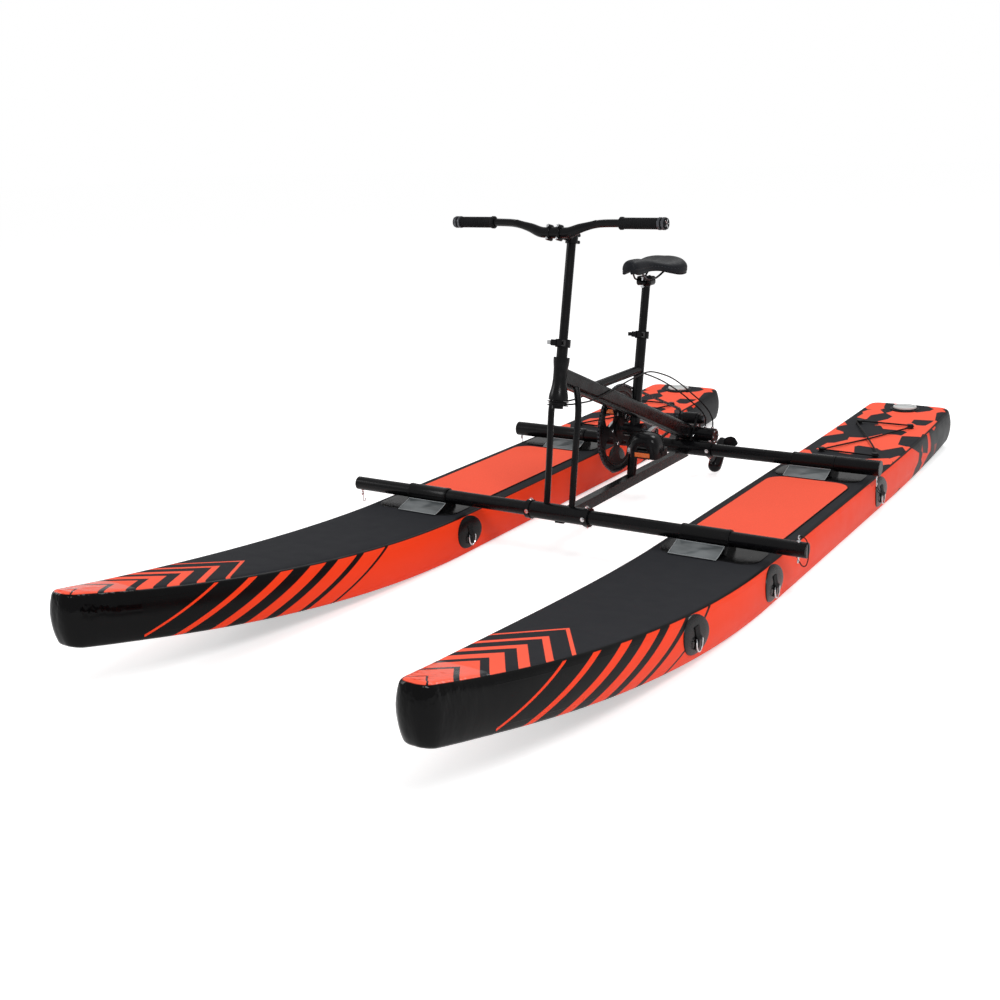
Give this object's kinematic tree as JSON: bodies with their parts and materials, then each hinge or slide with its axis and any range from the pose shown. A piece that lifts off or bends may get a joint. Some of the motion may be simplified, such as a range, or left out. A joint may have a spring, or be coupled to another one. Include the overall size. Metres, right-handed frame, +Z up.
{
  "type": "pontoon water bike",
  "caption": "Pedal-driven water bike: two long inflatable pontoons joined by cross beams, a bicycle-style frame with saddle and handlebar, and a tilting steerable propeller leg.",
  "frame": {"origin": "on the surface the pontoons rest on, under the middle of the whole object", "axes": "+X to port, -Y towards the bow, +Y towards the stern, +Z up"},
  "size_m": [1.56, 3.4987, 1.0606],
  "materials": {
    "hull_skin": "welded coated fabric, coral orange with black and grey panels",
    "black_skin": "glossy wrinkled black film",
    "pad_foam": "fine-textured foam, coral orange",
    "black_paint": "satin black powder coat",
    "black_steel": "satin black powder coat",
    "black_webbing": "woven black webbing",
    "black_plastic": "moulded black plastic",
    "black_rubber": "moulded black rubber",
    "pale_cap": "moulded light grey plastic",
    "silver_alloy": "polished alloy",
    "dark_steel": "dark steel, lightly oiled",
    "saddle_cover": "black synthetic leather with sewn seams"
  },
  "bodies": {
    "frame": {"port_pontoon": "hull_skin", "port_nose_guard": "black_skin", "port_deck_pad": "pad_foam", "port_front_beam_saddle": "black_webbing", "port_rear_beam_saddle": "black_webbing", "port_bungee": "black_rubber", "front_beam_port_tube": "black_paint", "rear_beam_port_tube": "black_paint", "port_post": "black_paint", "port_steering_cable": "black_rubber", "starboard_pontoon": "hull_skin", "starboard_nose_guard": "black_skin", "starboard_deck_pad": "pad_foam", "starboard_front_beam_saddle": "black_webbing", "starboard_rear_beam_saddle": "black_webbing", "starboard_bungee": "black_rubber", "front_beam_starboard_tube": "black_paint", "rear_beam_starboard_tube": "black_paint", "starboard_post": "black_paint", "starboard_steering_cable": "black_rubber", "front_beam_sleeve": "black_paint", "rear_beam_sleeve": "black_paint", "main_tube": "black_paint", "top_tube": "black_paint", "seat_tube": "black_paint", "head_tube": "black_paint", "keel_rail": "black_paint", "bracket_strut": "black_paint", "seat_collar": "black_paint", "chain": "dark_steel", "drive_housing": "black_paint"},
    "steering": {"steerer": "black_paint", "steering_pulley": "black_paint", "column_collar": "black_paint"},
    "column_lever": {"column_lever": "silver_alloy"},
    "handle": {"handle_post": "black_paint", "stem": "black_paint", "handlebar": "black_paint", "port_grip": "black_rubber", "starboard_grip": "black_rubber"},
    "seat": {"seat_post": "black_paint", "saddle_clamp": "black_paint", "saddle_rails": "dark_steel", "saddle": "saddle_cover"},
    "seat_lever": {"seat_lever": "black_plastic"},
    "crank": {"crank_spindle": "dark_steel", "chainring": "black_steel", "port_crank": "silver_alloy", "starboard_crank": "silver_alloy"},
    "port_pedal": {"port_pedal": "black_plastic", "port_toe_strap": "black_webbing"},
    "starboard_pedal": {"starboard_pedal": "black_plastic", "starboard_toe_strap": "black_webbing"},
    "input_shaft": {"drive_sprocket": "dark_steel"},
    "leg": {"drive_leg": "black_paint"},
    "lower_unit": {"lower_unit": "black_paint"},
    "propeller": {"propeller": "black_plastic"},
    "port_valve": {"port_valve_cap": "pale_cap"},
    "starboard_valve": {"starboard_valve_cap": "pale_cap"}
  },
  "joints": [
    {"name": "steer", "type": "hinge", "parent": "frame", "child": "steering", "pos_m": [0, -0.3, 0.527], "axis": [0, 0.2079, 0.9781], "range_deg": [-40, 40]},
    {"name": "column_lever_turn", "type": "hinge", "parent": "steering", "child": "column_lever", "pos_m": [-0.02694, -0.299, 0.68627], "axis": [0, 0.2079, 0.9781], "range_deg": [0, 150]},
    {"name": "handle_height", "type": "slide", "parent": "steering", "child": "handle", "axis": [0, 0.2079, 0.9781], "range_m": [-0.12, 0.02]},
    {"name": "seat_height", "type": "slide", "parent": "frame", "child": "seat", "axis": [0, 0.1908, 0.9816], "range_m": [-0.09, 0.04]},
    {"name": "seat_lever_turn", "type": "hinge", "parent": "frame", "child": "seat_lever", "pos_m": [-0.02694, 0.22387, 0.63357], "axis": [0, 0.1908, 0.9816], "range_deg": [0, 150]},
    {"name": "crank_turn", "type": "hinge", "parent": "frame", "child": "crank", "pos_m": [0, 0.202, 0.329], "axis": [1, 0, 0], "continuous": true},
    {"name": "port_pedal_turn", "type": "hinge", "parent": "crank", "child": "port_pedal", "pos_m": [0.08, 0.03365, 0.30534], "axis": [1, 0, 0], "continuous": true},
    {"name": "starboard_pedal_turn", "type": "hinge", "parent": "crank", "child": "starboard_pedal", "pos_m": [-0.089, 0.37035, 0.35266], "axis": [1, 0, 0], "continuous": true},
    {"name": "input_shaft_turn", "type": "hinge", "parent": "frame", "child": "input_shaft", "pos_m": [0, 0.662, 0.272], "axis": [1, 0, 0], "continuous": true},
    {"name": "leg_tilt", "type": "hinge", "parent": "frame", "child": "leg", "pos_m": [0, 0.662, 0.272], "axis": [1, 0, 0], "range_deg": [-48, 28]},
    {"name": "leg_steer", "type": "hinge", "parent": "leg", "child": "lower_unit", "pos_m": [0, 0.81063, 0.13817], "axis": [0, -0.7431, 0.6691], "range_deg": [-40, 40]},
    {"name": "propeller_turn", "type": "hinge", "parent": "lower_unit", "child": "propeller", "pos_m": [0, 0.93995, 0.10247], "axis": [0, 0.6691, 0.7431], "continuous": true},
    {"name": "port_valve_turn", "type": "hinge", "parent": "frame", "child": "port_valve", "pos_m": [0.508, 1.65, 0.15], "axis": [0, 0, 1], "range_deg": [0, 90]},
    {"name": "starboard_valve_turn", "type": "hinge", "parent": "frame", "child": "starboard_valve", "pos_m": [-0.508, 1.65, 0.15], "axis": [0, 0, 1], "range_deg": [0, 90]}
  ],
  "couplings": [
    {"joint": "input_shaft_turn", "follows": "crank_turn", "ratio": 4.5},
    {"joint": "propeller_turn", "follows": "crank_turn", "ratio": 9},
    {"joint": "leg_steer", "follows": "steer", "ratio": -1}
  ]
}
